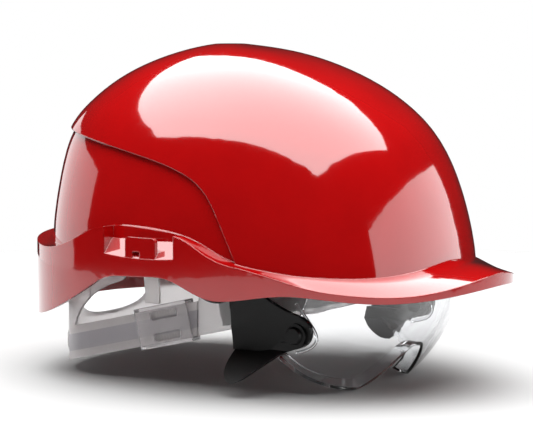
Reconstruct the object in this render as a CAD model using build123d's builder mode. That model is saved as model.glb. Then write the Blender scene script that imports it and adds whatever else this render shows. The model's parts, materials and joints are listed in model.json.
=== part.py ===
from build123d import *
from math import atan, copysign, cos, degrees, pi, radians, sin, sqrt
import os

# Industrial hard hat with a retractable clear eye shield.
# Frame: +X is the wearer's left, -Y the front, +Z up, millimetres.
# The origin is on the symmetry plane, between the two side rims.

# ---- shell ------------------------------------------------------------
wall = 3.0                     # skin of the shell
crown_height = 129.6           # top of the dome above the origin
dome_levels = [-12, 10, 35, 60, 80, 95, 107, 116, 123, 127.5, crown_height]
dome_half_widths = [104.5, 103, 100, 94, 86, 76, 64, 51.5, 37, 22, 9]
dome_fronts = [131, 130, 124.5, 115.5, 103, 87, 68.5, 49, 28, 5, -12]
dome_backs = [126, 125.5, 124.5, 121, 115, 103, 88, 72, 54.5, 39, 28.5]
dome_centres = [10, 10, 10, 10, 10, 10, 11, 12.5, 14.5, 17, 18.5]
dome_front_power = 2.5         # squareness of the plan, ahead of its centre
dome_back_power = 2.4
panel_step = 2.2               # how far the lower rear panel is set in
step_line = [(-49, 9.9), (-42, 23.9), (-36, 34.7), (-29, 45.4), (-20, 53.8),
             (-9, 59.4), (21, 67.6), (55, 73.8), (140, 86)]

rim_half_width = 111.0
rim_front = 162.0
rim_back = 133.0
rim_centre = 5.0
rim_front_power = 2.0
rim_back_power = 2.4
# height of the rim's lower lip, along the side view from back to front
lip_line = [(150, -24), (80, -24), (66, -18), (46, -7.5), (33, -1), (12, 1), (-12, 0.5),
            (-24, -4.5), (-36, -8.9), (-58, -7.8), (-80, -5.3), (-102, -7.2),
            (-126, -9.2), (-147, -7.7), (-157, -5.5), (-175, 2)]
# height of the ledge on top of the side band, from back to front
ledge_line = [(150, 15), (110, 12.5), (84, 12), (66, 16.5), (52, 22.5), (40, 27), (22, 28.5),
              (0, 27), (-15, 25), (-24, 22), (-33, 17), (-43, 12.3), (-52, 9.8), (-60, 8.2)]
# the peak: for each distance from the centre plane, (y, z) where it leaves
# the dome and (y, z) at its edge
peak_stations = [(0, -131, 8.5, -162, 3.5), (30, -128, 5.8, -156, -0.6),
                 (58, -116, 3.8, -137.5, -5.3), (84, -89, 4.3, -104.5, -3.6),
                 (101, -62, 7.6, -69, 5.9), (114, -62, 7.6, -69, 5.9)]

# ---- accessory slots in the side band ---------------------------------
notch_front = -15.0
notch_back = 33.0
notch_floor_out = 11.5         # height of the sloping floor at the rim's edge
notch_floor_in = 20.0          # and beside the dome
block_front = -3.0
block_back = 17.7
block_top = 23.5
block_thickness = 3.2
block_window = 4.8             # small square window through the block

# ---- eye shield -------------------------------------------------------
hinge_y = -27.0
hinge_z = 6.0
swing_open = 52.0              # degrees from down to stowed
lens_thickness = 2.4
# outer surface, a body of revolution about the hinge axis: (x, radius)
lens_meridian = [(0, 95.5), (20, 94.8), (33, 92.8), (45, 89), (55, 83.5),
                 (61, 78.5), (65.5, 72), (68, 64), (68.5, 52)]
lens_top_angle = -3.0          # below the horizontal, at the top edge
lens_bottom_angle = -78.0
flange_depth = 8.5             # inward flange round the lower edge
# lower edge seen from the front, from the nose arch outwards: (x, z)
nose_arch = [(0, -42), (7, -43.5), (13, -49), (20, -58), (28, -65), (36, -66.4),
             (48, -63.5), (60, -58.5), (90, -45)]
# lower edge seen from the side: (y, z)
side_edge = [(-100, -77.2), (-20, -16.1)]
arm_thickness = 3.2
arm_hub_radius = 20.0
# middle of the arm's thickness, a body of revolution about the hinge: (x, radius)
arm_meridian = [(84.7, 0), (84.7, 23), (82.6, 34), (77, 46), (72.4, 55), (71.4, 61), (71.4, 90)]
# side view of the arm with its finger lug: (y, z)
arm_outline = [(-34, -4), (-37, -16), (-36.3, -28), (-34, -40), (-32.6, -48), (-35, -54.5),
               (-41.5, -57.5), (-48.5, -53.5), (-57.5, -46), (-65.5, -40.5), (-73, -38),
               (-80, -34), (-82, -28), (-79.5, -22), (-72, -17.8), (-64, -13), (-56, -6.5),
               (-46, 1)]
lug_root = (73.0, -40.5)       # where the lug turns outwards: (x, z)
lug_tip = (90.0, -57.5)
stud_y = -72.5                 # rivet stud through arm and lens
stud_z = -30.2
stud_radius = 2.0
stud_head_radius = 5.2
stud_head_height = 2.0
stud_boss_radius = 7.0         # round pad on the arm under the stud's head
stud_seat_x = 74.8             # outer face of that pad

hinge_pin_radius = 4.0
bracket_outer_x = 90.0
bracket_thickness = 3.0
running_gap = 0.3

# ---- headband ---------------------------------------------------------
band_slope = 0.24              # the band rises towards the forehead
band_origin_z = -37.4          # its lower edge at the origin
band_half_width = 75.0         # outer face of the front band
band_thickness = 2.0
band_height = 32.0
band_front = 84.0              # forward reach of the front band
band_arc_start = -5.0          # where its sides begin to curve in
band_rear_end = 24.0
strap_thickness = 1.8
strap_height = 19.5
strap_front_end = -8.5
nape_arc_start = 55.0
nape_reach = 60.5
nape_power = 2.6
fit_gap = 0.3
size_travel_in = 12.0
size_travel_out = 6.0
buckle_front = -6.5
buckle_length = 37.5
buckle_wall = 2.0

# ---- suspension -------------------------------------------------------
crown_y = 24.0                 # where the three straps cross
webbing_width = 20.0
webbing_thickness = 1.4
crossing_gap = 2.8             # between straps, because they cross at a slope
crown_clearance = 29.0         # from the crown of the shell down to the webbing
clip_width = 28.0
clip_height = 24.0
clip_thickness = 3.0
tongue_width = 14.0
tongue_thickness = 2.6
tongue_length = 11.0

os.makedirs("parts", exist_ok=True)


def save(part, name):
    part.label = name
    export_step(part, f"parts/{name}.step")


def super_outline(half_width, front, back, centre, front_power, back_power, count=28):
    """Points round a closed plan that is squarer or rounder at each end."""
    points = []
    for k in range(count):
        turn = 2 * pi * (k + 0.5) / count + pi / 2
        ahead = sin(turn) < 0
        power = front_power if ahead else back_power
        reach = front + centre if ahead else back - centre
        x = half_width * copysign(abs(cos(turn)) ** (2 / power), cos(turn))
        y = centre + reach * copysign(abs(sin(turn)) ** (2 / power), sin(turn))
        points.append((x, y))
    return points


def dome(inset):
    """The dome as a solid, drawn in by inset all over."""
    with BuildPart() as solid:
        for z, w, f, b, c in zip(dome_levels, dome_half_widths, dome_fronts,
                                 dome_backs, dome_centres):
            level = z - inset * max(0, z) / crown_height
            share = min(1, w / 40)
            with BuildSketch(Plane.XY.offset(level)):
                with BuildLine():
                    Spline(*super_outline(w - inset * share, f - inset * share,
                                          b - inset * share, c,
                                          dome_front_power, dome_back_power),
                           periodic=True)
                make_face()
        loft()
    return solid.part


def side_prism(points, corners, half_span=140.0, smooth=True):
    """A side-view region, closed by corners, run right across the hat."""
    with BuildPart() as solid:
        with BuildSketch(Plane.YZ.offset(-half_span)):
            with BuildLine() as edge:
                if smooth:
                    Spline(*points)
                else:
                    Polyline(*points)
                Polyline(points[-1], *corners, points[0])
            make_face()
        extrude(amount=2 * half_span)
    return solid.part


def stepped_dome(inset):
    """The dome with its lower rear panel set in behind the step line."""
    panel = side_prism(step_line, [(140, -60), (-49, -60)])
    return (dome(inset) - panel) + (dome(inset + panel_step) & panel)


def below_ledge(drop):
    """Everything under the ledge and the top of the peak, less drop."""
    with BuildPart() as solid:
        sections = sorted({-s[0] for s in peak_stations} | {s[0] for s in peak_stations})
        lookup = {s[0]: s for s in peak_stations}
        for x in sections:
            _, root_y, root_z, edge_y, edge_z = lookup[abs(x)]
            fall = (root_z - edge_z) / (root_y - edge_y)
            beyond = (edge_y - 12, edge_z - 12 * fall)
            crest = ledge_line + [(root_y, root_z), (edge_y, edge_z), beyond]
            top = [(y, z - drop) for y, z in crest]
            with BuildSketch(Plane.YZ.offset(x)):
                with BuildLine():
                    Spline(*top)
                    Polyline(top[-1], (top[-1][0], -80), (150, -80), top[0])
                make_face()
        loft()
    return solid.part


def rim_prism(inset):
    with BuildPart() as solid:
        with BuildSketch(Plane.XY.offset(-70)):
            with BuildLine():
                Spline(*super_outline(rim_half_width - inset, rim_front - inset,
                                      rim_back - inset, rim_centre,
                                      rim_front_power, rim_back_power), periodic=True)
            make_face()
        extrude(amount=120)
    return solid.part


def notches(grow):
    """The two side pockets of the accessory slots, grown by the wall."""
    inner_x = rim_half_width - 9
    outer_x = rim_half_width + 6
    rise = (notch_floor_in - notch_floor_out) / 8
    low = notch_floor_out - rise * 6 - grow
    high = notch_floor_out + rise * 9 - grow
    with BuildPart() as solid:
        for side in (-1, 1):
            with BuildSketch(Plane.XZ.offset(-notch_back - grow)):
                with BuildLine():
                    Polyline((side * outer_x, low), (side * inner_x, high),
                             (side * (inner_x - 4), high), (side * (inner_x - 4), 60),
                             (side * outer_x, 60), (side * outer_x, low))
                make_face()
            extrude(amount=notch_back - notch_front + 2 * grow)
    return solid.part


def band_body(inset):
    return (rim_prism(inset) & below_ledge(inset)) - (notches(inset) - dome(inset))


# ---- frames that several pieces share ------------------------------------
hinge_axis = Axis((0, hinge_y, hinge_z), (1, 0, 0))
band_tilt = atan(band_slope)
band_sin = sin(band_tilt)
band_cos = cos(band_tilt)
band_plane = Plane(origin=(0, 0, band_origin_z), x_dir=(1, 0, 0), z_dir=(0, band_sin, band_cos))


def radial_plane(angle_below):
    """A plane through the hinge axis: x runs along it and y outwards."""
    a = radians(angle_below)
    return Plane(origin=(0, hinge_y, hinge_z), x_dir=(1, 0, 0), z_dir=(0, sin(a), -cos(a)))


def heading_plane(heading):
    """An upright plane through the crown: x runs along the heading and y is up."""
    return Plane(origin=(0, crown_y, 0), x_dir=(*heading, 0), z_dir=(heading[1], -heading[0], 0))


def dome_at(level):
    """Half width, front, back and centre of the dome's plan at a height."""
    rows = list(zip(dome_levels, dome_half_widths, dome_fronts, dome_backs, dome_centres))
    for low, high in zip(rows, rows[1:]):
        if level <= high[0]:
            share = (level - low[0]) / (high[0] - low[0])
            return [a + share * (b - a) for a, b in zip(low[1:], high[1:])]


def dome_reach(heading, level, inset, aside=0.0):
    """Distance along a heading, or along a line beside it, to the dome drawn in by inset."""
    half_width, front, back, centre = dome_at(level)
    near, far = 0.0, 200.0
    for _ in range(40):
        reach = (near + far) / 2
        x = abs(heading[0] * reach - heading[1] * aside)
        y = crown_y + heading[1] * reach + heading[0] * aside - centre
        power = dome_front_power if y < 0 else dome_back_power
        room = (front + centre if y < 0 else back - centre) - inset
        inside = (x / (half_width - inset)) ** power + (abs(y) / room) ** power < 1
        near, far = (reach, far) if inside else (near, reach)
    return near


def thick_curve(points, thickness):
    """Both faces of a curved skin: the points and the same points drawn in."""
    drawn_in = []
    for k, (x, r) in enumerate(points):
        before = points[max(0, k - 1)]
        after = points[min(len(points) - 1, k + 1)]
        dx, dr = after[0] - before[0], after[1] - before[1]
        size = sqrt(dx * dx + dr * dr)
        drawn_in.append((x + thickness * dr / size, r - thickness * dx / size))
    return drawn_in


# ---- suspension anchors ---------------------------------------------------
# heading, middle height of the clip, and depth of the shell's inner face
front_heading = (0.74, -0.672)
side_heading = (1.0, 0.0)
rear_heading = (0.74, 0.672)
anchors = {"front": (front_heading, 43.5, wall),
           "side": (side_heading, 31.0, wall + panel_step),
           "rear": (rear_heading, 32.0, wall + panel_step)}
socket_wall = 2.0
socket_rise = 12.0             # height of the socket's block
socket_start = 8.0             # its lower face, above the middle of the clip
tongue_gap = 0.2
clip_room = 4.8                # from the tongue to the shell at the socket's top


def clip_reach(name):
    """Distance from the crown's axis to the clip's inner face."""
    heading, level, inset = anchors[name]
    room = dome_reach(heading, level + socket_start + socket_rise, inset)
    return room - clip_thickness - tongue_thickness - clip_room


def mirrored(heading, side):
    return (side * heading[0], heading[1])


# ---- shell --------------------------------------------------------------
inner_dome = stepped_dome(wall)
outer_solid = stepped_dome(0) + band_body(0)
inner_solid = inner_dome + band_body(wall)
below_lip = side_prism(lip_line, [(-175, -90), (150, -90)])
skin = outer_solid - inner_solid - below_lip

# upright plates of the accessory slots, flush with the side band
with BuildPart() as slot_plates:
    for side in (-1, 1):
        with BuildSketch(Plane.YZ.offset(side * (rim_half_width - block_thickness))):
            with Locations(((block_front + block_back) / 2, block_top / 2 + 2)):
                RectangleRounded(block_back - block_front, block_top - 4, 2.5)
            with Locations((10, 12.8)):
                Rectangle(block_window, block_window, mode=Mode.SUBTRACT)
        extrude(amount=side * block_thickness)
slot_plates = slot_plates.part & rim_prism(0.3)

# pads that the hinge brackets screw to, rooted half way through the wall
bracket_holes = [(-44.0, 26.0), (-10.0, 26.0)]
pad_radius = 4.6
pilot_radius = 1.5
with BuildPart() as pads:
    for side in (-1, 1):
        with BuildSketch(Plane.YZ.offset(side * bracket_outer_x)):
            with Locations(*bracket_holes):
                Circle(pad_radius)
        extrude(amount=side * 14)
pads = pads.part & stepped_dome(wall / 2)
with BuildPart() as pilots:
    for side in (-1, 1):
        with BuildSketch(Plane.YZ.offset(side * bracket_outer_x)):
            with Locations(*bracket_holes):
                Circle(pilot_radius + 0.05)
        extrude(amount=side * 4.4)

# sockets that take the tongues of the suspension clips
sockets = []
socket_half_width = tongue_width / 2 + socket_wall
for name, (heading, level, inset) in anchors.items():
    for side in (-1, 1):
        reach = clip_reach(name) + clip_thickness
        slot_from = reach + 1.4 - tongue_gap
        slot_to = slot_from + tongue_thickness + 2 * tongue_gap
        low = level + socket_start
        high = low + socket_rise
        face = slot_from - socket_wall + 1
        with BuildPart() as socket:
            for end in (low, high):
                line = mirrored(heading, side)
                roots = [(dome_reach(line, end, inset - wall / 2, aside), aside)
                         for aside in (-socket_half_width, 0, socket_half_width)]
                with BuildSketch(Plane(origin=(0, crown_y, end), x_dir=(*line, 0))):
                    with BuildLine():
                        Polyline((face, -socket_half_width), *roots, (face, socket_half_width),
                                 close=True)
                    make_face()
            loft(ruled=True)
            with BuildSketch(heading_plane(mirrored(heading, side))):
                with BuildLine():
                    Polyline((slot_from, low - 1), (slot_to, low - 1),
                             (slot_to, low + tongue_length), (slot_from, low + tongue_length),
                             close=True)
                make_face()
            extrude(amount=tongue_width / 2 + tongue_gap, both=True, mode=Mode.SUBTRACT)
        sockets.append(socket.part)

shell_part = skin + slot_plates + pads
for block in sockets:
    shell_part = shell_part + block
shell_part = shell_part - pilots.part
save(shell_part, "shell")

# ---- hinge brackets, pins and screws ---------------------------------------
bracket_inner_x = bracket_outer_x - bracket_thickness
arm_outer_x = arm_meridian[0][0] + arm_thickness / 2
arm_inner_x = arm_meridian[0][0] - arm_thickness / 2
pin_end_x = arm_inner_x - running_gap
screw_head_radius = 3.4
screw_head_height = 1.6
retainer_radius = 8.0
retainer_thickness = 1.8
retainer_shank_radius = 1.5
washer_radius = 9.0
pin_clearance = 0.05

for side, word in ((-1, "right"), (1, "left")):
    with BuildPart() as bracket:
        with BuildSketch(Plane.YZ.offset(side * bracket_outer_x)):
            with Locations((hinge_y, hinge_z)):
                Circle(arm_hub_radius - 1.5)
            for y, z in bracket_holes:
                with Locations((y, z)):
                    Circle(pad_radius + 0.6)
            with BuildLine():
                Polyline((-48.4, 24), (-44, -1), (-10, -1), (-5.6, 24), (-8, 30.8), (-46, 30.8),
                         close=True)
            make_face()
            with Locations(*bracket_holes):
                Circle(pilot_radius + 0.25, mode=Mode.SUBTRACT)
        extrude(amount=-side * bracket_thickness)
        with BuildSketch(Plane.YZ.offset(side * bracket_inner_x)):
            with Locations((hinge_y, hinge_z)):
                Circle(hinge_pin_radius)
        extrude(amount=-side * (bracket_inner_x - pin_end_x))
        with BuildSketch(Plane.YZ.offset(side * pin_end_x)):
            with Locations((hinge_y, hinge_z)):
                Circle(retainer_shank_radius + 0.05)
        extrude(amount=side * 6, mode=Mode.SUBTRACT)
    save(bracket.part, f"hinge_bracket_{word}")

    with BuildPart() as screws:
        with BuildSketch(Plane.YZ.offset(side * bracket_inner_x)):
            with Locations(*bracket_holes):
                Circle(screw_head_radius)
        extrude(amount=-side * screw_head_height)
        with BuildSketch(Plane.YZ.offset(side * bracket_inner_x)):
            with Locations(*bracket_holes):
                Circle(pilot_radius)
        extrude(amount=side * (bracket_thickness + 4))
    save(screws.part, f"bracket_screws_{word}")

    with BuildPart() as retainer:
        with BuildSketch(Plane.YZ.offset(side * pin_end_x)):
            with Locations((hinge_y, hinge_z)):
                Circle(retainer_radius)
        extrude(amount=-side * retainer_thickness)
        with BuildSketch(Plane.YZ.offset(side * pin_end_x)):
            with Locations((hinge_y, hinge_z)):
                Circle(retainer_shank_radius)
        extrude(amount=side * 5)
        with BuildSketch(Plane.YZ.offset(side * (pin_end_x - retainer_thickness))):
            with Locations((hinge_y, hinge_z)):
                Rectangle(6.5, 1.0)
                Rectangle(1.0, 6.5)
        extrude(amount=side * 0.8, mode=Mode.SUBTRACT)
    save(retainer.part, f"hinge_screw_{word}")

    with BuildPart() as washer:
        with BuildSketch(Plane.YZ.offset(side * bracket_inner_x)):
            with Locations((hinge_y, hinge_z)):
                Circle(washer_radius)
                Circle(hinge_pin_radius + 0.2, mode=Mode.SUBTRACT)
        extrude(amount=-side * (bracket_inner_x - arm_outer_x - 0.15))
    save(washer.part, f"friction_washer_{word}")

# ---- arms --------------------------------------------------------------
stud_gap = 0.05


def skin_of_revolution(outside, inside, start, sweep):
    """A curved skin between two meridians, turned about the hinge axis."""
    with BuildPart() as solid:
        with BuildSketch(radial_plane(start)):
            with BuildLine():
                Spline(*outside)
                Line(outside[-1], inside[-1])
                Spline(*inside[::-1])
                Line(inside[0], outside[0])
            make_face()
        revolve(axis=hinge_axis, revolution_arc=sweep)
    return solid.part


for side, word in ((-1, "right"), (1, "left")):
    outer_face = [(side * (x + arm_thickness / 2), r) for x, r in arm_meridian]
    inner_face = [(side * (x - arm_thickness / 2), r) for x, r in arm_meridian]
    with BuildPart() as strip:
        with BuildSketch(radial_plane(0)):
            with BuildLine():
                Polyline(*outer_face, *inner_face[::-1], close=True)
            make_face()
        revolve(axis=hinge_axis)
    with BuildPart() as side_view:
        with BuildSketch(Plane.YZ.offset(side * 55)):
            with BuildLine():
                Spline(*arm_outline, periodic=True)
            make_face()
            with Locations((hinge_y, hinge_z)):
                Circle(arm_hub_radius)
        extrude(amount=side * 45)
    half = arm_thickness / 2
    slant = half * sqrt(2)
    with BuildPart() as lug:
        with BuildSketch(Plane.XZ.offset(20)):
            with BuildLine():
                Polyline((side * (lug_root[0] - half), lug_root[1] + 6),
                         (side * (lug_root[0] + half), lug_root[1] + 6),
                         (side * (lug_root[0] + half), lug_root[1] + 1.3),
                         (side * (lug_tip[0] + slant), lug_tip[1]),
                         (side * (lug_tip[0] - slant), lug_tip[1]),
                         (side * (lug_root[0] - half), lug_root[1] - 1.3), close=True)
            make_face()
        extrude(amount=70)
    with BuildPart() as above:
        with Locations((side * 75, -40, lug_root[1] + 50)):
            Box(60, 160, 100)
    with BuildPart() as arm:
        add((strip.part & side_view.part & above.part) + (lug.part & side_view.part))
        with BuildSketch(Plane.YZ.offset(side * (arm_meridian[-1][0] - 0.6))):
            with Locations((stud_y, stud_z)):
                Circle(stud_boss_radius)
        extrude(amount=side * (stud_seat_x - arm_meridian[-1][0] + 0.6))
        with BuildSketch(Plane.YZ.offset(side * 60)):
            with Locations((hinge_y, hinge_z)):
                Circle(hinge_pin_radius + pin_clearance)
            with Locations((stud_y, stud_z)):
                Circle(stud_radius + stud_gap)
        extrude(amount=side * 40, mode=Mode.SUBTRACT)
    save(arm.part, f"visor_arm_{word}")

# ---- lens --------------------------------------------------------------
meridian = [(-x, r) for x, r in lens_meridian[:0:-1]] + lens_meridian
end_x, end_r = lens_meridian[-1]
longer = [(-end_x, end_r - 6)] + meridian + [(end_x, end_r - 6)]
sweep = lens_top_angle - lens_bottom_angle


side_slope = (side_edge[1][1] - side_edge[0][1]) / (side_edge[1][0] - side_edge[0][0])


def below_arch(grow):
    """Everything under the lens's lower edge, seen from the front and the side."""
    arch = [(-x, z) for x, z in nose_arch[:0:-1]] + nose_arch
    arch = thick_curve(arch, -grow)
    side_rise = grow * sqrt(1 + side_slope * side_slope)
    side_line = [(y, z + side_rise) for y, z in side_edge]
    with BuildPart() as solid:
        with BuildSketch(Plane.XZ.offset(45)):
            with BuildLine():
                Spline(*arch)
                Polyline(arch[-1], (arch[-1][0], -120), (arch[0][0], -120), arch[0])
            make_face()
        extrude(amount=100)
        with BuildSketch(Plane.YZ.offset(-100)):
            with BuildLine():
                Polyline(*side_line, (side_edge[1][0], -140), (side_edge[0][0], -140), close=True)
            make_face()
        extrude(amount=200)
    return solid.part


block = skin_of_revolution(meridian, thick_curve(meridian, flange_depth),
                           -lens_top_angle, sweep)
hollow = skin_of_revolution(thick_curve(longer, lens_thickness),
                            thick_curve(longer, flange_depth + 1.5),
                            -lens_top_angle - 3, sweep + 6)
lens_boss_radius = 6.5
lens_side_x = lens_meridian[-1][0]
lens_side_drift = 0.6          # the lens leans inwards by this much across the stud
arm_tip_inner_x = arm_meridian[-1][0] - arm_thickness / 2
with BuildPart() as lens:
    add(block - below_arch(0) - (hollow - below_arch(lens_thickness)))
    for side in (-1, 1):
        with BuildSketch(Plane.YZ.offset(side * (lens_side_x - lens_thickness))):
            with Locations((stud_y, stud_z)):
                Circle(lens_boss_radius)
        extrude(amount=side * (arm_tip_inner_x - 0.1 - lens_side_x + lens_thickness))
        with BuildSketch(Plane.YZ.offset(side * 60)):
            with Locations((stud_y, stud_z)):
                Circle(stud_radius + stud_gap)
        extrude(amount=side * 12, mode=Mode.SUBTRACT)
save(lens.part, "visor_lens")

for side, word in ((-1, "right"), (1, "left")):
    inside_x = lens_side_x - lens_thickness - lens_side_drift
    outside_x = stud_seat_x
    with BuildPart() as stud:
        with BuildSketch(Plane.YZ.offset(side * outside_x)):
            with Locations((stud_y, stud_z)):
                Circle(stud_head_radius)
        extrude(amount=side * stud_head_height, taper=25)
        with BuildSketch(Plane.YZ.offset(side * inside_x)):
            with Locations((stud_y, stud_z)):
                Circle(stud_radius)
        extrude(amount=side * (outside_x - inside_x))
        with BuildSketch(Plane.YZ.offset(side * inside_x)):
            with Locations((stud_y, stud_z)):
                Circle(stud_head_radius - 1)
        extrude(amount=-side * 1.2)
    save(stud.part, f"lens_stud_{word}")

# ---- headband ----------------------------------------------------------


def front_plan(half_width, reach, rear):
    """A U that is open at the back, drawn in the band's plane."""
    arc_depth = reach + band_arc_start
    with BuildSketch(band_plane) as plan:
        with BuildLine():
            EllipticalCenterArc((0, band_arc_start), half_width, arc_depth,
                                start_angle=180, arc_size=180)
            Polyline((half_width, band_arc_start), (half_width, rear), (-half_width, rear),
                     (-half_width, band_arc_start))
        make_face()
    return plan.sketch


def nape_plan(half_width, reach, front):
    """A U that is open at the front, with squarish rear corners."""
    corner = []
    for k in range(17):
        turn = pi * k / 16
        x = half_width * copysign(abs(cos(turn)) ** (2 / nape_power), cos(turn))
        corner.append((x, nape_arc_start + reach * sin(turn) ** (2 / nape_power)))
    with BuildSketch(band_plane) as plan:
        with BuildLine():
            Spline(*corner, tangents=[(0, 1), (0, -1)])
            Polyline(corner[-1], (-half_width, front), (half_width, front), corner[0])
        make_face()
    return plan.sketch


with BuildPart() as headband:
    add(front_plan(band_half_width, band_front, band_rear_end))
    extrude(amount=band_height)
    add(front_plan(band_half_width - band_thickness, band_front - band_thickness, 60))
    extrude(amount=band_height, mode=Mode.SUBTRACT)
    # the upper edge steps down where the size buckles grip the band
    with BuildSketch(Plane.YZ.offset(-100)):
        with BuildLine():
            Polyline((-8, -17.35 + band_slope * 8), (-14, 30), (80, 30), (80, -37), close=True)
        make_face()
    extrude(amount=200, mode=Mode.SUBTRACT)
save(headband.part, "headband")

strap_half_width = band_half_width + fit_gap + strap_thickness
hanger_slot_radius = 2.3
peg_radius = 2.0
peg_places = [(70.0, -7.0), (63.0, -7.0 + 7 * band_slope)]
# side view of the strap with its rising arms, above the toothed part: (y, z)
nape_top = [(84, -37.6), (80, -29.5), (70.5, -20), (61, -13.6), (52, -9.5), (43, -5),
            (42, 4), (50, 11), (64, 13), (88, 11.5), (102, 3), (107, -18), (110, -38),
            (116, -45)]
with BuildPart() as nape:
    add(nape_plan(strap_half_width, nape_reach, strap_front_end))
    extrude(amount=80)
    add(nape_plan(strap_half_width - strap_thickness, nape_reach - strap_thickness, -60))
    extrude(amount=80, mode=Mode.SUBTRACT)
    with BuildSketch(Plane.YZ.offset(-100)):
        with BuildLine():
            toothed_top = strap_height / band_cos + band_origin_z
            Polyline((-40, toothed_top + 40 * band_slope), nape_top[0])
            Spline(*nape_top)
            Polyline(nape_top[-1], (140, -50), (140, -90), (-40, -90),
                     (-40, toothed_top + 40 * band_slope))
        make_face()
    extrude(amount=200, mode=Mode.INTERSECT)
    # slots that ride on the hanger pegs as the strap is drawn in
    travel = size_travel_in + size_travel_out
    length = peg_places[0][0] - peg_places[1][0] + travel + 2 * hanger_slot_radius
    centre_y = (peg_places[0][0] + peg_places[1][0] + size_travel_in - size_travel_out) / 2
    centre_z = peg_places[0][1] + band_slope * (peg_places[0][0] - centre_y)
    with BuildSketch(Plane.YZ.offset(-100)):
        with Locations(Location((centre_y, centre_z), -degrees(band_tilt))):
            SlotOverall(length, 2 * hanger_slot_radius)
    extrude(amount=200, mode=Mode.SUBTRACT)
save(nape.part, "nape_strap")

nape_pad_thickness = 2.6
with BuildPart() as nape_pad:
    add(nape_plan(strap_half_width + nape_pad_thickness + 0.05,
                  nape_reach + nape_pad_thickness + 0.05, 0))
    extrude(amount=17)
    add(nape_plan(strap_half_width + 0.05, nape_reach + 0.05, -60))
    extrude(amount=17, mode=Mode.SUBTRACT)
    with BuildSketch(Plane.XZ.offset(-150)):
        with Locations((0, band_origin_z - 13)):
            RectangleRounded(96, 13, 3)
    extrude(amount=52, mode=Mode.INTERSECT)
save(nape_pad.part, "nape_pad")

sweatband_thickness = 3.6
sweatband_rear_end = -22.0
with BuildPart() as sweatband:
    inner = band_half_width - band_thickness - fit_gap
    add(front_plan(inner, band_front - band_thickness - fit_gap, 60))
    extrude(amount=band_height - 2)
    add(front_plan(inner - sweatband_thickness,
                   band_front - band_thickness - fit_gap - sweatband_thickness, 60))
    extrude(amount=band_height - 2, mode=Mode.SUBTRACT)
    with BuildSketch(band_plane):
        with Locations((0, sweatband_rear_end + 100)):
            Rectangle(200, 200)
    extrude(amount=band_height, mode=Mode.SUBTRACT)
    with BuildSketch(band_plane):
        Rectangle(200, 300)
    extrude(amount=2, mode=Mode.SUBTRACT)
save(sweatband.part, "sweatband")

# ---- size buckles ---------------------------------------------------------
slot_in = band_half_width - band_thickness - fit_gap
slot_out = strap_half_width + fit_gap
buckle_mid = buckle_front + buckle_length / 2
window_length = 19.0
window_height = 4.6
for side, word in ((-1, "right"), (1, "left")):
    with BuildPart() as buckle:
        with BuildSketch(band_plane.offset(-fit_gap - buckle_wall)):
            with Locations((side * (slot_in + slot_out) / 2, buckle_mid)):
                Rectangle(slot_out - slot_in + 2 * buckle_wall, buckle_length)
        extrude(amount=strap_height + 2 * fit_gap + 2 * buckle_wall)
        with BuildSketch(band_plane.offset(-fit_gap)):
            with Locations((side * (slot_in + slot_out) / 2, buckle_mid)):
                Rectangle(slot_out - slot_in, buckle_length + 2)
        extrude(amount=strap_height + 2 * fit_gap, mode=Mode.SUBTRACT)
        for low in (1.2, strap_height - window_height - 1.2):
            with BuildSketch(band_plane.offset(low)):
                with Locations((side * (slot_out + buckle_wall / 2), buckle_mid - 1.5)):
                    Rectangle(buckle_wall + 1, window_length)
            extrude(amount=window_height, mode=Mode.SUBTRACT)
    save(buckle.part, f"size_buckle_{word}")

# ---- webbing, clips and hangers ---------------------------------------------
strap_top = crown_height - wall - crown_clearance


def webbing(heading, top, front_reach, rear_reach, low_front, low_rear):
    """One strap over the head, in the upright plane along its heading."""
    middle = (front_reach - rear_reach) / 2
    radius = (front_reach + rear_reach) / 2
    foot = min(low_front, low_rear) - 4
    rise = (top - foot) / sqrt(1 - (middle / radius) ** 2)
    with BuildPart() as strap:
        with BuildSketch(heading_plane(heading)):
            with Locations((middle, foot)):
                Ellipse(radius, rise)
                Ellipse(radius - webbing_thickness, rise - webbing_thickness, mode=Mode.SUBTRACT)
            with Locations((-100, low_rear - 100), (100, low_front - 100)):
                Rectangle(200, 200, mode=Mode.SUBTRACT)
        extrude(amount=webbing_width / 2, both=True)
    return strap.part


front_reach = clip_reach("front") - fit_gap
side_reach = clip_reach("side") - fit_gap
rear_reach = clip_reach("rear") - fit_gap
front_low = anchors["front"][1] - 2
side_low = anchors["side"][1] - 2
rear_low = anchors["rear"][1] - 2
layer = webbing_thickness + crossing_gap
save(webbing(mirrored(front_heading, 1), strap_top - 2 * layer, front_reach, rear_reach,
             front_low, rear_low), "crown_strap_front_left")
save(webbing(mirrored(front_heading, -1), strap_top - layer, front_reach, rear_reach,
             front_low, rear_low), "crown_strap_front_right")
save(webbing(side_heading, strap_top, side_reach, side_reach, side_low, side_low),
     "crown_strap_side")

patch_radius = 17.0
with BuildPart() as patch:
    with BuildSketch(Plane.XY.offset(strap_top + 0.2)):
        with Locations((0, crown_y)):
            Circle(patch_radius)
    extrude(amount=1.4)
save(patch.part, "crown_patch")

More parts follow.
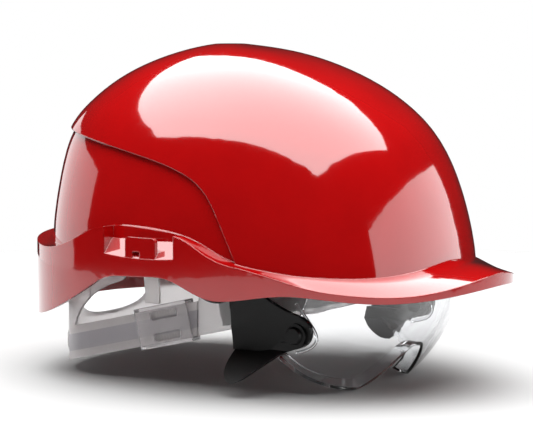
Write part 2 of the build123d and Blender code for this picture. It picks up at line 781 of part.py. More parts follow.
for name, (heading, level, _) in anchors.items():
    reach = clip_reach(name)
    with BuildPart() as clips:
        for side in (-1, 1):
            plane = heading_plane(mirrored(heading, side))
            shelf = level + socket_start - 3.5
            back = reach + clip_thickness
            with BuildSketch(plane):
                with Locations((reach + clip_thickness / 2, level)):
                    Rectangle(clip_thickness, clip_height)
            extrude(amount=clip_width / 2, both=True)
            with BuildSketch(plane):
                with BuildLine():
                    Polyline((back - 0.5, shelf), (back + 1.4 + tongue_thickness, shelf),
                             (back + 1.4 + tongue_thickness, shelf + 2.6 + tongue_length),
                             (back + 1.4, shelf + 2.6 + tongue_length), (back + 1.4, shelf + 2.6),
                             (back - 0.5, shelf + 2.6), close=True)
                make_face()
            extrude(amount=tongue_width / 2, both=True)
    save(clips.part, f"{name}_clips")


def band_reach(heading, lift):
    """Distance from the crown's axis to the outside of the front band."""
    near, far = 0.0, 200.0
    for _ in range(40):
        reach = (near + far) / 2
        x = abs(heading[0]) * reach
        along = (crown_y + heading[1] * reach - lift * band_sin) / band_cos
        depth = max(0.0, band_arc_start - along) / (band_front + band_arc_start)
        inside = (x / band_half_width) ** 2 + depth ** 2 < 1
        near, far = (reach, far) if inside else (near, reach)
    return near


hanger_thickness = 2.0
hanger_width = 10.0            # clear of the nape strap when it is drawn right in
curve_room = 2.6               # the band turns away from a flat hanger


def band_touch(lift):
    """Reach and height of a point just outside the front band, at a lift from its lower edge."""
    reach = band_reach(front_heading, lift) + fit_gap
    y = crown_y + front_heading[1] * reach
    return reach, band_origin_z - band_slope * y + lift / band_cos


touch_top = band_touch(band_height)
touch_low = band_touch(band_height - 12)
with BuildPart() as front_hangers:
    for side in (-1, 1):
        hook = clip_reach("front") - fit_gap
        level = anchors["front"][1] - 3
        with BuildSketch(heading_plane(mirrored(front_heading, side))):
            with BuildLine():
                Polyline((hook, level), (hook, level - 8),
                         (touch_top[0] + curve_room + hanger_thickness, touch_top[1]),
                         (touch_low[0] + curve_room + hanger_thickness, touch_low[1]),
                         (touch_low[0] - 2, touch_low[1]), (touch_top[0] - 2, touch_top[1]),
                         (hook - hanger_thickness, level - 7),
                         (hook - hanger_thickness, level), close=True)
            make_face()
        extrude(amount=hanger_width / 2, both=True)
    # the foot's inner face follows the curve of the band
    add(front_plan(band_half_width + fit_gap, band_front + fit_gap, band_rear_end))
    extrude(amount=band_height + fit_gap, mode=Mode.SUBTRACT)
save(front_hangers.part, "front_hangers")

buckle_top = strap_height + fit_gap + buckle_wall
rest_z = band_origin_z - band_slope * crown_y + buckle_top / band_cos
hanger_foot = (slot_in + slot_out) / 2
with BuildPart() as side_hangers:
    for side in (-1, 1):
        hook = clip_reach("side") - fit_gap
        level = anchors["side"][1] - 3
        with BuildSketch(heading_plane(mirrored(side_heading, side))):
            with BuildLine():
                Polyline((hook, level), (hook, level - 8),
                         (hanger_foot + hanger_thickness / 2, rest_z + 8),
                         (hanger_foot + hanger_thickness / 2, rest_z + 1.6),
                         (hanger_foot - hanger_thickness / 2, rest_z + 1.6),
                         (hanger_foot - hanger_thickness / 2, rest_z + 8),
                         (hook - hanger_thickness, level - 7), (hook - hanger_thickness, level),
                         close=True)
            make_face()
        extrude(amount=hanger_width / 2, both=True)
save(side_hangers.part, "side_hangers")

peg_plate_x = 66.0
peg_head_x = strap_half_width + fit_gap
clip_plane_y = (clip_reach("rear") - rear_heading[0] * (peg_plate_x + 2)) / rear_heading[1]
hanger_rear_y = crown_y + clip_plane_y - fit_gap
for side, word in ((-1, "right"), (1, "left")):
    with BuildPart() as hanger:
        with BuildSketch(Plane.YZ.offset(side * peg_plate_x)):
            with BuildLine():
                Polyline((58, -10), (72.5, -12), (73, 17), (hanger_rear_y, 18.5),
                         (hanger_rear_y, 30), (66, 30), (58, 14), close=True)
            make_face()
        extrude(amount=side * 2)
        with BuildSketch(Plane.YZ.offset(side * (peg_plate_x + 1))):
            with Locations(*peg_places):
                Circle(peg_radius)
        extrude(amount=side * (peg_head_x - peg_plate_x - 1))
        with BuildSketch(Plane.YZ.offset(side * peg_head_x)):
            with Locations(*peg_places):
                Circle(peg_radius + 1.2)
        extrude(amount=side * 1.0)
    save(hanger.part, f"nape_hanger_{word}")
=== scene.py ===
"""Looks for the hard hat with its retractable eye shield. Everything is in metres, in the CAD frame."""

import json
import math

import bmesh
import bpy
import numpy as np
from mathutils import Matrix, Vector

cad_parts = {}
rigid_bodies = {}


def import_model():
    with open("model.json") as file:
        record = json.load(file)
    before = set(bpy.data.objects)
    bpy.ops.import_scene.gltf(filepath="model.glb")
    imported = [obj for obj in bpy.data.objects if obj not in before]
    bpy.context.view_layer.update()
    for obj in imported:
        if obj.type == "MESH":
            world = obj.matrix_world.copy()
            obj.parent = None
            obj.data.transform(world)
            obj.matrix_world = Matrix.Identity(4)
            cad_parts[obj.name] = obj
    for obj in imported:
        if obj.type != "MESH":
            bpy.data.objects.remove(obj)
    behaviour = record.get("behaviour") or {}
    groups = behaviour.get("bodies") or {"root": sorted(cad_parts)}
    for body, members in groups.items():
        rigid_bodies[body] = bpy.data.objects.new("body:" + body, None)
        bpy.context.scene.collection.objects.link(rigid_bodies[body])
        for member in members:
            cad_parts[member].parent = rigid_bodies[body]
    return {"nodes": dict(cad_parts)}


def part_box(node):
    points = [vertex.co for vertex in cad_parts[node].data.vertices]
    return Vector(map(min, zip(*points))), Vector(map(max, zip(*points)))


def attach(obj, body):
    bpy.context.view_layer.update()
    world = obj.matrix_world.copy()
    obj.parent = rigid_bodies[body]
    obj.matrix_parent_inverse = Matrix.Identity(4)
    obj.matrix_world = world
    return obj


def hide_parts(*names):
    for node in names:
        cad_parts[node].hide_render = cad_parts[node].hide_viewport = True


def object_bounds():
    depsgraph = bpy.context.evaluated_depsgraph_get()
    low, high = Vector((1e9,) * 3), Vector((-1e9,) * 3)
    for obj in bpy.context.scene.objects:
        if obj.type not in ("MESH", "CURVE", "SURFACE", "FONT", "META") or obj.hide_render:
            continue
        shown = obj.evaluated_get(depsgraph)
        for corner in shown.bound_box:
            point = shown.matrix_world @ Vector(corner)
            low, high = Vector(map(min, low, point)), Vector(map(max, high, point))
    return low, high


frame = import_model()
nodes = frame["nodes"]
cad_box = [list(corner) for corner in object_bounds()]

# the head band's plane: along its length, square to that, and its lower edge
band_run = (0, 0.97239, -0.23337)
band_rise = (0, 0.23337, 0.97239)
band_origin = (0, 0, -0.0374)
hinge_y, hinge_z = -0.027, 0.006
crown_y = 0.024
pairs = ("left", "right")
diagonal = 0.7


# ---- node helpers ----------------------------------------------------------
def new_material(name):
    """An empty node material with a Principled shader wired to its output."""
    made = bpy.data.materials.new(name)
    made.use_nodes = True
    tree = made.node_tree
    tree.nodes.clear()
    out = tree.nodes.new("ShaderNodeOutputMaterial")
    shader = tree.nodes.new("ShaderNodeBsdfPrincipled")
    tree.links.new(shader.outputs["BSDF"], out.inputs["Surface"])
    return made, tree, shader


def noise(tree, scale, detail=3.0, stretch=(1, 1, 1), rough=0.5):
    """Noise in object space; scale is in features to the metre."""
    where = tree.nodes.new("ShaderNodeTexCoord")
    place = tree.nodes.new("ShaderNodeMapping")
    place.inputs["Scale"].default_value = stretch
    made = tree.nodes.new("ShaderNodeTexNoise")
    made.inputs["Scale"].default_value = scale
    made.inputs["Detail"].default_value = detail
    made.inputs["Roughness"].default_value = rough
    tree.links.new(where.outputs["Object"], place.inputs["Vector"])
    tree.links.new(place.outputs["Vector"], made.inputs["Vector"])
    return made.outputs["Fac"]


def ramp(tree, source, stops):
    """A colour ramp over source; stops are (position, colour)."""
    made = tree.nodes.new("ShaderNodeValToRGB")
    element = made.color_ramp.elements
    element[0].position, element[0].color = stops[0][0], (*stops[0][1], 1)
    element[1].position, element[1].color = stops[-1][0], (*stops[-1][1], 1)
    for position, colour in stops[1:-1]:
        extra = element.new(position)
        extra.color = (*colour, 1)
    tree.links.new(source, made.inputs["Fac"])
    return made.outputs["Color"]


def spread(tree, source, low, high, lowest=0.0):
    """Map source, lowest to 1, on to low to high."""
    made = tree.nodes.new("ShaderNodeMapRange")
    made.inputs["From Min"].default_value = lowest
    made.inputs["To Min"].default_value = low
    made.inputs["To Max"].default_value = high
    tree.links.new(source, made.inputs["Value"])
    return made.outputs["Result"]


def bump(tree, shader, height, strength, distance, after=None):
    """Relief from height on the shader's normal, on top of the normal in after."""
    made = tree.nodes.new("ShaderNodeBump")
    made.inputs["Strength"].default_value = strength
    made.inputs["Distance"].default_value = distance
    tree.links.new(height, made.inputs["Height"])
    if after is not None:
        tree.links.new(after, made.inputs["Normal"])
    tree.links.new(made.outputs["Normal"], shader.inputs["Normal"])
    return made.outputs["Normal"]


def shades(colour, shift):
    """A darker and a lighter shade of a colour."""
    return tuple(c * (1 - shift) for c in colour), tuple(min(1.0, c * (1 + shift)) for c in colour)


def moulded(name, colour, rough, grain=900, grain_depth=0.00002, shift=0.06, coat=0.0,
            edge=0.0, metallic=0.0, transmission=0.0, ior=1.5, soft=0.0):
    """Moulded plastic or metal: slight colour drift, uneven gloss and a fine surface grain."""
    made, tree, shader = new_material(name)
    broad = noise(tree, 38, 4)
    dark, light = shades(colour, shift)
    tree.links.new(ramp(tree, broad, [(0.3, dark), (0.7, light)]), shader.inputs["Base Color"])
    tree.links.new(spread(tree, noise(tree, 160, 5), rough * 0.8, rough * 1.2),
                   shader.inputs["Roughness"])
    rounded = None
    if edge:
        rounding = tree.nodes.new("ShaderNodeBevel")
        rounding.samples = 6
        rounding.inputs["Radius"].default_value = edge
        rounded = rounding.outputs["Normal"]
    fine = bump(tree, shader, noise(tree, grain, 2), 0.5, grain_depth, rounded)
    last = bump(tree, shader, noise(tree, 90, 2), 0.25, grain_depth * 4, fine)
    if edge:
        tree.links.new(last, shader.inputs["Coat Normal"])
    shader.inputs["Coat Weight"].default_value = coat
    shader.inputs["Coat Roughness"].default_value = 0.012
    shader.inputs["Metallic"].default_value = metallic
    shader.inputs["Transmission Weight"].default_value = transmission
    shader.inputs["IOR"].default_value = ior
    shader.inputs["Subsurface Weight"].default_value = soft
    shader.inputs["Subsurface Radius"].default_value = (0.006, 0.005, 0.004)
    return made


def fabric(name, colour, across, along, pitch, depth, shift=0.12, smoothest=0.765):
    """Woven cloth: two crossing sets of threads, in the direction across and along."""
    made, tree, shader = new_material(name)
    where = tree.nodes.new("ShaderNodeTexCoord")
    heights = []
    for direction in (across, along):
        turn = tree.nodes.new("ShaderNodeVectorMath")
        turn.operation = "DOT_PRODUCT"
        turn.inputs[1].default_value = [c * 2 * math.pi / pitch for c in direction]
        tree.links.new(where.outputs["Object"], turn.inputs[0])
        wave = tree.nodes.new("ShaderNodeMath")
        wave.operation = "SINE"
        tree.links.new(turn.outputs["Value"], wave.inputs[0])
        heights.append(wave.outputs["Value"])
    both = tree.nodes.new("ShaderNodeMath")
    both.operation = "MULTIPLY"
    tree.links.new(heights[0], both.inputs[0])
    tree.links.new(heights[1], both.inputs[1])
    threads = spread(tree, both.outputs["Value"], 0.0, 1.0, lowest=-1.0)
    # painted shade: the threads' colour follows their height, darker low in the weave and lighter on
    # top
    dark, light = shades(colour, shift)
    tree.links.new(ramp(tree, threads, [(0.2, dark), (0.8, light)]), shader.inputs["Base Color"])
    tree.links.new(spread(tree, noise(tree, 400, 4), smoothest, 1.0), shader.inputs["Roughness"])
    first = bump(tree, shader, threads, 0.8, depth)
    bump(tree, shader, noise(tree, 2500, 3), 0.4, depth * 0.5, first)
    shader.inputs["Sheen Weight"].default_value = 0.35
    return made


red = moulded("red_gloss", (0.31, 0.0016, 0.002), 0.08, grain=260, grain_depth=0.000008,
              shift=0.05, coat=1.0, edge=0.0009)
lens_clear = moulded("lens_polycarbonate", (0.93, 0.94, 0.95), 0.012, grain=40,
                     grain_depth=0.000004, shift=0.01, transmission=1.0, ior=1.5)
milky = moulded("milky_polyethylene", (0.95, 0.935, 0.93), 0.32, grain=1400, grain_depth=0.00003,
                shift=0.03, transmission=0.8, ior=1.35)
strap_milky = moulded("milky_strap", (0.92, 0.89, 0.89), 0.32, grain=1400,
                      grain_depth=0.00003, shift=0.03, transmission=0.75, ior=1.35)
buckle_milky = moulded("milky_buckle", (0.9, 0.87, 0.88), 0.2, grain=1000,
                       grain_depth=0.00002, shift=0.03, transmission=0.8, ior=1.4)
clip_grey = moulded("clip_acetal", (0.4, 0.4, 0.39), 0.3, grain=1300, shift=0.03, soft=0.1)
black = moulded("black_satin", (0.0035, 0.0035, 0.0035), 0.36, grain=1600, grain_depth=0.00004,
                shift=0.15)
steel = moulded("screw_steel", (0.62, 0.62, 0.63), 0.25, grain=2200, shift=0.05, metallic=1.0)
washer_grey = moulded("washer_steel", (0.5, 0.5, 0.52), 0.32, grain=2600, shift=0.05,
                      metallic=1.0)


def painted_channel_shade(material, low=0.0048, high=0.0147, blur=0.0002):
    """Painted shade: greyer between two heights on the strap, where the real one is thinner and its
    channel lies in shade.
    """
    tree = material.node_tree
    shader = tree.nodes["Principled BSDF"]
    plain = shader.inputs["Base Color"].links[0].from_socket
    where = tree.nodes.new("ShaderNodeTexCoord")
    lift = tree.nodes.new("ShaderNodeVectorMath")
    lift.operation = "DOT_PRODUCT"
    lift.inputs[1].default_value = band_rise
    tree.links.new(where.outputs["Object"], lift.inputs[0])
    base = band_origin[2] * band_rise[2]
    inside = []
    for level, sign in ((base + low, 1), (base + high, -1)):
        step = tree.nodes.new("ShaderNodeMapRange")
        step.inputs["From Min"].default_value = level - sign * blur
        step.inputs["From Max"].default_value = level + sign * blur
        tree.links.new(lift.outputs["Value"], step.inputs["Value"])
        inside.append(step.outputs["Result"])
    both = tree.nodes.new("ShaderNodeMath")
    both.operation = "MULTIPLY"
    tree.links.new(inside[0], both.inputs[0])
    tree.links.new(inside[1], both.inputs[1])
    # the painted shade: the strap's colour times a grey between the two heights
    mix = tree.nodes.new("ShaderNodeMix")
    mix.data_type = "RGBA"
    mix.blend_type = "MULTIPLY"
    tree.links.new(both.outputs["Value"], mix.inputs["Factor"])
    tree.links.new(plain, mix.inputs[6])
    mix.inputs[7].default_value = (0.66, 0.66, 0.69, 1)
    tree.links.new(mix.outputs[2], shader.inputs["Base Color"])


# painted shade in the nape strap's centre channel
painted_channel_shade(strap_milky)
black.node_tree.nodes["Principled BSDF"].inputs["Specular IOR Level"].default_value = 0.22

# ---- carried CAD nodes -------------------------------------------------------
def both(*starts):
    """The left and right node of each start of a name."""
    return [start + "_" + word for start in starts for word in pairs]


look_nodes = [
    (red, ["shell"]),
    (lens_clear, ["visor_lens"]),
    (milky, ["headband", "nape_pad", "front_hangers", "side_hangers"] + both("nape_hanger")),
    (strap_milky, ["nape_strap"]),
    (buckle_milky, both("size_buckle")),
    (clip_grey, ["front_clips", "side_clips", "rear_clips"]),
    (black, both("visor_arm", "hinge_bracket", "lens_stud")),
    (steel, both("bracket_screws", "hinge_screw")),
    (washer_grey, both("friction_washer")),
]
look_of = {name: look for look, names in look_nodes for name in names}
softer_edges = {"visor_arm_left": 0.0007, "visor_arm_right": 0.0007,
                "size_buckle_left": 0.0006, "size_buckle_right": 0.0006}
usual_edge = 0.0003
# the shell's and the lens's long curves stay as the CAD has them
smooth_already = ("shell", "visor_lens")
for name, piece in nodes.items():
    if name not in look_of:
        continue
    piece.data.materials.clear()
    piece.data.materials.append(look_of[name])
    if name in smooth_already:
        continue
    weld = piece.modifiers.new("weld", "WELD")
    weld.merge_threshold = 0.000005
    rounding = piece.modifiers.new("rounding", "BEVEL")
    rounding.width = softer_edges.get(name, usual_edge)
    rounding.segments = 3
    rounding.limit_method = "ANGLE"
    rounding.angle_limit = math.radians(38)
    rounding.harden_normals = True


# ---- mesh helpers --------------------------------------------------------------
def shade_smooth(mesh):
    """Smooth shading on every face."""
    for polygon in mesh.polygons:
        polygon.use_smooth = True


def piece_from(name, verts, faces, look, body, smooth=35):
    """A mesh piece that rides on a body, smooth apart from its sharp edges."""
    data = bpy.data.meshes.new(name)
    data.from_pydata([tuple(v) for v in verts], [], faces)
    data.validate()
    tidy = bmesh.new()
    tidy.from_mesh(data)
    bmesh.ops.recalc_face_normals(tidy, faces=tidy.faces)
    tidy.to_mesh(data)
    tidy.free()
    made = bpy.data.objects.new(name, data)
    bpy.context.scene.collection.objects.link(made)
    made.data.materials.append(look)
    shade_smooth(data)
    data.set_sharp_from_angle(angle=math.radians(smooth))
    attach(made, body)
    return made


def sweep(stations, section):
    """Vertices and faces of a section carried along stations of (place, side, out)."""
    verts, faces = [], []
    count = len(section)
    for place, side, out in stations:
        verts += [place + side * a + out * b for a, b in section]
    for k in range(len(stations) - 1):
        for j in range(count):
            i = (j + 1) % count
            faces.append((k * count + j, k * count + i, (k + 1) * count + i, (k + 1) * count + j))
    faces.append(tuple(range(count))[::-1])
    last = (len(stations) - 1) * count
    faces.append(tuple(last + j for j in range(count)))
    return verts, faces


def lump(verts, faces, centre, axes, size, power=4.0, rings=6, turns=12):
    """Add a small rounded block: a superellipsoid about centre along three axes."""
    start = len(verts)
    for i in range(rings + 1):
        v = -math.pi / 2 + math.pi * i / rings
        for j in range(turns):
            u = 2 * math.pi * j / turns
            parts = (math.cos(v), math.cos(u)), (math.cos(v), math.sin(u)), (1.0, math.sin(v))
            place = Vector(centre)
            for (a, b), axis, half in zip(parts, axes, size):
                grown = abs(a) ** (2 / power) * math.copysign(abs(b) ** (2 / power), b)
                place += Vector(axis) * half * grown
            verts.append(place)
    for i in range(rings):
        for j in range(turns):
            n = (j + 1) % turns
            faces.append((start + i * turns + j, start + i * turns + n,
                          start + (i + 1) * turns + n, start + (i + 1) * turns + j))


# ---- webbing ---------------------------------------------------------------------
# the way each strap runs, in plan
headings = {"crown_strap_front_left": (0.74, -0.672), "crown_strap_front_right": (-0.74, -0.672),
            "crown_strap_side": (1.0, 0.0)}


def webbing_strap(node):
    """A woven ribbon along the middle of a CAD strap, thick at its selvedges."""
    hx, hy = headings[node]
    points = np.array([v.co for v in nodes[node].data.vertices], float)
    along = points[:, 0] * hx + (points[:, 1] - crown_y) * hy
    across = -points[:, 0] * hy + (points[:, 1] - crown_y) * hx
    half = across.max()
    edge = across > half - 1e-5
    along, height = along[edge], points[edge, 2]
    # the arch is read as angle and reach from a point a little below its feet
    below = 0.01
    foot = height.min()
    middle = (along.max() + along.min()) / 2
    angle = np.arctan2(height - foot + below, along - middle)
    reach = np.hypot(height - foot + below, along - middle)
    order = np.argsort(angle)
    angle, reach = angle[order], reach[order]
    station_count, window, passes = 72, 0.09, 12
    turns = np.linspace(angle[0], angle[-1], station_count)
    near = [reach[np.abs(angle - t) < window] for t in turns]
    line = np.array([(some.max() + some.min()) / 2 for some in near])
    for _ in range(passes):
        line[1:-1] = (line[:-2] + 2 * line[1:-1] + line[2:]) / 4
    centre = []
    for t, r in zip(turns, line):
        out_along = middle + r * math.cos(t)
        centre.append(Vector((hx * out_along, crown_y + hy * out_along,
                              foot - below + r * math.sin(t))))
    side = Vector((-hy, hx, 0))
    frames = []
    for k, place in enumerate(centre):
        ahead = centre[min(k + 1, len(centre) - 1)] - centre[max(k - 1, 0)]
        out = ahead.cross(side).normalized()
        if out.z < 0 and k not in (0, len(centre) - 1):
            out.negate()
        elif out.dot(place - Vector((0, crown_y, 0))) < 0:
            out.negate()
        frames.append((place, side, out))
    # half width and half thickness, with thicker selvedges
    w, t = half - 0.0004, 0.00062
    section = [(-w, 0.3 * t), (-w + 0.0005, t), (-w + 0.0016, t), (-w + 0.0021, 0.7 * t),
               (0, 0.8 * t), (w - 0.0021, 0.7 * t), (w - 0.0016, t), (w - 0.0005, t),
               (w, 0.3 * t), (w, -0.3 * t), (w - 0.0005, -t), (w - 0.0016, -t),
               (w - 0.0021, -0.7 * t), (0, -0.8 * t), (-w + 0.0021, -0.7 * t),
               (-w + 0.0016, -t), (-w + 0.0005, -t), (-w, -0.3 * t)]
    verts, faces = sweep(frames, section)
    look = fabric("woven_" + node, (0.09, 0.09, 0.10), (-hy, hx, 0),
                  (hx * diagonal, hy * diagonal, diagonal), pitch=0.0022, depth=0.0003)
    made = piece_from("webbing_" + node.removeprefix("crown_"), verts, faces, look, "hat",
                      50)
    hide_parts(node)


for strap in headings:
    webbing_strap(strap)


# ---- stitched patch where the straps cross -----------------------------------------
def crown_patch():
    """A round patch with a sewn groove, and its ring of stitches."""
    low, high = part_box("crown_patch")
    centre = (low + high) / 2
    radius, thick = (high.x - low.x) / 2, (high.z - low.z) / 2
    verts, faces = [], []
    # (share of the radius, share of half the thickness)
    profile = [(0.0, 0.8), (0.35, 0.8), (0.7, 0.78), (0.80, 0.7), (0.835, 0.45), (0.87, 0.7),
               (0.93, 0.85), (0.97, 0.7), (1.0, 0.2), (1.0, -0.3), (0.97, -0.8), (0.9, -1.0),
               (0.5, -1.0), (0.0, -1.0)]
    turns = 64
    for r, z in profile:
        for k in range(turns):
            a = 2 * math.pi * k / turns
            verts.append(Vector((centre.x + r * radius * math.cos(a),
                                 centre.y + r * radius * math.sin(a), centre.z + z * thick)))
    for i in range(len(profile) - 1):
        for k in range(turns):
            n = (k + 1) % turns
            faces.append((i * turns + k, i * turns + n, (i + 1) * turns + n, (i + 1) * turns + k))
    look = fabric("patch_cloth", (0.05, 0.05, 0.055), (diagonal, diagonal, 0),
                  (-diagonal, diagonal, 0), pitch=0.0011, depth=0.0002)
    made = piece_from("crown_patch_sewn", verts, faces, look, "hat", 50)
    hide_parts("crown_patch")
    verts, faces = [], []
    stitches, groove = 30, 0.835
    for k in range(stitches):
        a = 2 * math.pi * k / stitches
        ring = (math.cos(a), math.sin(a), 0)
        turn = (-math.sin(a), math.cos(a), 0)
        place = centre + Vector(ring) * radius * groove + Vector((0, 0, thick * 0.62))
        lump(verts, faces, place, (turn, ring, (0, 0, 1)), (0.0012, 0.00032, 0.0003), 2.5)
    thread = moulded("patch_thread", (0.5, 0.5, 0.5), 0.6, grain=5000, shift=0.1)
    piece_from("crown_patch_stitches", verts, faces, thread, "hat", 80)


crown_patch()


# ---- sweatband --------------------------------------------------------------------
def sweatband():
    """A thin foam pad in cloth, swollen by simulation, its swelling capped."""
    made = nodes["sweatband"].copy()
    made.data = nodes["sweatband"].data.copy()
    made.parent = None
    made.name = "sweatband_pad"
    for key in list(made.keys()):
        del made[key]
    bpy.context.scene.collection.objects.link(made)
    bpy.context.view_layer.objects.active = made
    for other in bpy.context.scene.objects:
        other.select_set(other == made)
    weld = made.modifiers.new("weld", "WELD")
    weld.merge_threshold = 0.00002
    grid = made.modifiers.new("grid", "REMESH")
    grid.mode = "VOXEL"
    grid.voxel_size = 0.0015
    smooth = made.modifiers.new("even", "SMOOTH")
    smooth.iterations = 4
    for name in [m.name for m in made.modifiers]:
        bpy.ops.object.modifier_apply(modifier=name)
    mesh = made.data
    rest = np.array([v.co for v in mesh.vertices], float)
    normal = np.array([v.normal for v in mesh.vertices], float)
    drawn_in, most_swell = 0.0006, 0.0009
    start = rest - normal * drawn_in
    mesh.vertices.foreach_set("co", start.ravel())
    cloth = made.modifiers.new("foam", "CLOTH")
    cloth.settings.quality = 5
    cloth.settings.mass = 0.2
    cloth.settings.use_pressure = True
    cloth.settings.uniform_pressure_force = 4
    cloth.settings.effector_weights.gravity = 0
    cloth.collision_settings.use_collision = False
    last_step = 20
    cloth.point_cache.frame_start = 1
    cloth.point_cache.frame_end = last_step
    for step in range(1, last_step + 1):
        bpy.context.scene.frame_set(step)
    bpy.ops.object.modifier_apply(modifier="foam")
    bpy.context.scene.frame_set(1)
    now = np.array([v.co for v in mesh.vertices], float)
    if len(now) == len(rest):
        swell = np.clip(((now - start) * normal).sum(1), 0.0, most_swell)
        # sewn lines near both edges and along the middle pull the pad in
        lift = rest @ np.array(band_rise)
        share = (lift - lift.min()) / (lift.max() - lift.min())
        line_width = 0.022
        for line in (0.12, 0.5, 0.88):
            swell -= most_swell * np.exp(-((share - line) / line_width) ** 2)
        mesh.vertices.foreach_set("co", (start + normal * swell[:, None]).ravel())
    mesh.update()
    look = fabric("sweat_cloth", (0.035, 0.035, 0.04), band_rise,
                  (diagonal, diagonal, 0.0), pitch=0.0016, depth=0.0002)
    mesh.materials.clear()
    mesh.materials.append(look)
    shade_smooth(mesh)
    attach(made, "hat")
    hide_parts("sweatband")


sweatband()


# ---- size marks on the nape strap ----------------------------------------------------
def strap_rails(side, word):
    """Raised rails with plain tick ribs along both edges of the strap's outer face."""
    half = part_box("nape_strap")[1].x
    run, rise, origin = Vector(band_run), Vector(band_rise), Vector(band_origin)
    # the strap's plan: straight, then a squarish arc round the nape
    arc_start, arc_reach, power = 0.055, 0.0605, 2.6
    near = 0.0005

    def width(at):
        """Half the strap's width at a distance along the band."""
        turn = max(0.0, (at - arc_start) / arc_reach)
        return half * max(0.0, 1 - turn ** power) ** (1 / power)

    def on_strap(along):
        """Place, direction and outward normal on the strap's outer face."""
        lean = (width(along + near) - width(along - near)) / (2 * near)
        place = origin + Vector((side * width(along), 0, 0)) + run * along
        ahead = (run + Vector((side * lean, 0, 0))).normalized()
        return place, ahead, ahead.cross(rise).normalized() * side

    verts, faces = [], []
    # the rail's cross-section: (up the strap, out of it)
    section = [(-0.0021, -0.0001), (-0.0021, 0.00006), (-0.0018, 0.00012), (0.0018, 0.00012),
               (0.0021, 0.00006), (0.0021, -0.0001)]
    first_tick, tick_gap, ticks = -0.003, 0.002, 45
    rail_from, rail_to, rail_stations = -0.004, 0.086, 44
    for lift in (0.0026, 0.0169):
        stations = []
        for along in np.linspace(rail_from, rail_to, rail_stations):
            place, _, out = on_strap(along)
            stations.append((place + rise * lift, rise, out))
        more, skin = sweep(stations, section)
        faces += [tuple(len(verts) + i for i in face) for face in skin]
        verts += more
        for k in range(ticks):
            place, ahead, out = on_strap(first_tick + tick_gap * k)
            tall = 0.0018 if k % 5 == 0 else 0.0012
            lump(verts, faces, place + rise * lift, (ahead, rise, out),
                 (0.0003, tall, 0.00024), 5.0, 6, 8)
    piece_from("strap_rails_" + word, verts, faces, strap_milky, "nape", 60)


for side, word in ((-1, "right"), (1, "left")):
    strap_rails(side, word)


# ---- clear ridge round the lens's fixing ------------------------------------------------
def lens_ridge(side, word):
    """A raised clear rib on the side of the lens, round the arm's end; its route is in (y, z)."""
    route = [(-0.0700, -0.0130), (-0.0745, -0.0180), (-0.0795, -0.0240), (-0.0828, -0.0292),
             (-0.0832, -0.0330), (-0.0805, -0.0368), (-0.0760, -0.0392), (-0.0700, -0.0410)]
    # the lens's side, and where and how fast it draws in away from the hinge
    side_x, drawn_from, draw = 0.0688, 0.052, 0.06
    curve = bpy.data.curves.new("ridge", "CURVE")
    curve.dimensions = "3D"
    line = curve.splines.new("NURBS")
    line.points.add(len(route) - 1)
    for k, (y, z) in enumerate(route):
        radius = math.hypot(y - hinge_y, z - hinge_z)
        x = side * (side_x - max(0.0, radius - drawn_from) * draw)
        line.points[k].co = (x, y, z, 1)
    line.order_u = 4
    line.use_endpoint_u = True
    curve.resolution_u = 10
    curve.bevel_depth = 0.0009
    curve.bevel_resolution = 3
    curve.use_fill_caps = True
    helper = bpy.data.objects.new("ridge_line", curve)
    bpy.context.scene.collection.objects.link(helper)
    bpy.context.view_layer.update()
    data = bpy.data.meshes.new_from_object(helper.evaluated_get(
        bpy.context.evaluated_depsgraph_get()))
    bpy.data.objects.remove(helper)
    made = bpy.data.objects.new("lens_ridge_" + word, data)
    bpy.context.scene.collection.objects.link(made)
    data.materials.clear()
    data.materials.append(lens_clear)
    shade_smooth(data)
    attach(made, "eye_shield")


for side, word in ((-1, "right"), (1, "left")):
    lens_ridge(side, word)


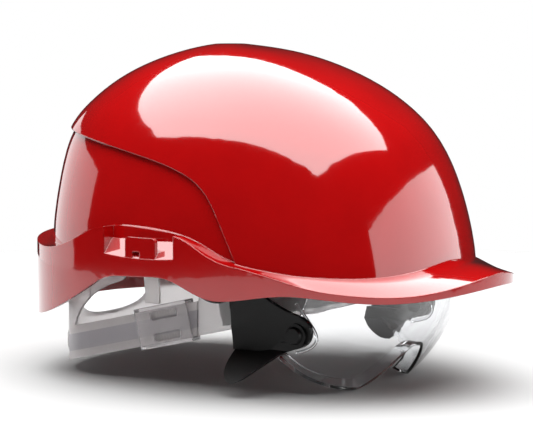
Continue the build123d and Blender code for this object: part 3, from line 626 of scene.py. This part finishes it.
# ---- studio -----------------------------------------------------------------
def studio():
    """A pale round floor, and a surround that is white to look at and dim as a light."""
    low = cad_box[0][2]
    sides, ring_count, middle, growth = 48, 25, 0.02, 1.155
    floor_data = bpy.data.meshes.new("floor")
    shape = bmesh.new()
    rings = []
    for k in range(ring_count):
        reach = middle * growth ** k
        rings.append([shape.verts.new((reach * math.cos(t), reach * math.sin(t), low - 0.0005))
                      for t in np.linspace(0, 2 * math.pi, sides, endpoint=False)])
    for inner, outer in zip(rings, rings[1:]):
        for k in range(sides):
            n = (k + 1) % sides
            shape.faces.new((inner[k], outer[k], outer[n], inner[n]))
    shape.faces.new(rings[0])
    shape.to_mesh(floor_data)
    shape.free()
    floor = bpy.data.objects.new("floor", floor_data)
    bpy.context.scene.collection.objects.link(floor)
    look, tree, shader = new_material("floor_pale")
    tree.links.new(ramp(tree, noise(tree, 3, 2), [(0.3, (0.40, 0.40, 0.40)),
                                                 (0.7, (0.42, 0.42, 0.42))]),
                   shader.inputs["Base Color"])
    shader.inputs["Roughness"].default_value = 0.9
    shader.inputs["Specular IOR Level"].default_value = 0.1
    floor.data.materials.append(look)

    fill_diffuse, fill_glossy = 0.18, 0.02
    world = bpy.data.worlds.new("surround")
    world.use_nodes = True
    tree = world.node_tree
    tree.nodes.clear()
    out = tree.nodes.new("ShaderNodeOutputWorld")
    seen = tree.nodes.new("ShaderNodeBackground")
    seen.inputs["Color"].default_value = (1, 1, 1, 1)
    seen.inputs["Strength"].default_value = 1.0
    fill = tree.nodes.new("ShaderNodeBackground")
    fill.inputs["Color"].default_value = (1, 1, 1, 1)
    dim = tree.nodes.new("ShaderNodeMath")
    dim.operation = "MULTIPLY_ADD"
    dim.inputs[1].default_value = fill_glossy - fill_diffuse
    dim.inputs[2].default_value = fill_diffuse
    path = tree.nodes.new("ShaderNodeLightPath")
    either = tree.nodes.new("ShaderNodeMath")
    either.operation = "MAXIMUM"
    mix = tree.nodes.new("ShaderNodeMixShader")
    tree.links.new(path.outputs["Is Glossy Ray"], dim.inputs[0])
    tree.links.new(dim.outputs["Value"], fill.inputs["Strength"])
    tree.links.new(path.outputs["Is Camera Ray"], either.inputs[0])
    tree.links.new(path.outputs["Is Transmission Ray"], either.inputs[1])
    tree.links.new(either.outputs["Value"], mix.inputs["Fac"])
    tree.links.new(fill.outputs["Background"], mix.inputs[1])
    tree.links.new(seen.outputs["Background"], mix.inputs[2])
    tree.links.new(mix.outputs["Shader"], out.inputs["Surface"])
    bpy.context.scene.world = world


def soft_box(name, place, target, size, power):
    """A rectangular area light that faces target; power is in watts."""
    data = bpy.data.lights.new(name, "AREA")
    data.shape = "RECTANGLE"
    data.size, data.size_y = size
    data.energy = power
    lamp = bpy.data.objects.new(name, data)
    lamp.location = place
    lamp.rotation_euler = (Vector(target) - Vector(place)).to_track_quat("-Z", "Y").to_euler()
    bpy.context.scene.collection.objects.link(lamp)


def camera():
    """The photograph's view: 57 degrees round from the front to the wearer's right, 7 up."""
    place = Vector((-1.0822, -0.7028, 0.1584))
    forward = Vector((0.8324, 0.5406, -0.1219))
    right = Vector((0.5406, -0.8324, 0.0))
    up = Vector((0.1022, 0.0664, 0.9925))
    # the focal length in picture widths, and how far the aim leaves forward, as tangents
    focal_widths = 4.04878
    turn_right, turn_up = 0.003939, 0.018304
    data = bpy.data.cameras.new("view")
    data.sensor_width = 36.0
    data.lens = focal_widths * data.sensor_width
    eye = bpy.data.objects.new("view", data)
    eye.location = place
    aim = forward + right * turn_right + up * turn_up
    eye.rotation_euler = aim.to_track_quat("-Z", "Y").to_euler()
    bpy.context.scene.collection.objects.link(eye)
    bpy.context.scene.camera = eye


studio()
soft_box("overhead", (0, 0.02, 1.25), (0, 0.02, 0), size=(2.3, 2.3), power=92)
soft_box("front", (0.75, -1.35, 0.28), (0, 0, 0.1), size=(2.6, 0.75), power=13)
soft_box("rear", (0.05, 1.5, 0.15), (0, 0, 0.05), size=(1.5, 0.7), power=4)
bpy.context.scene.view_settings.view_transform = "Standard"
camera()
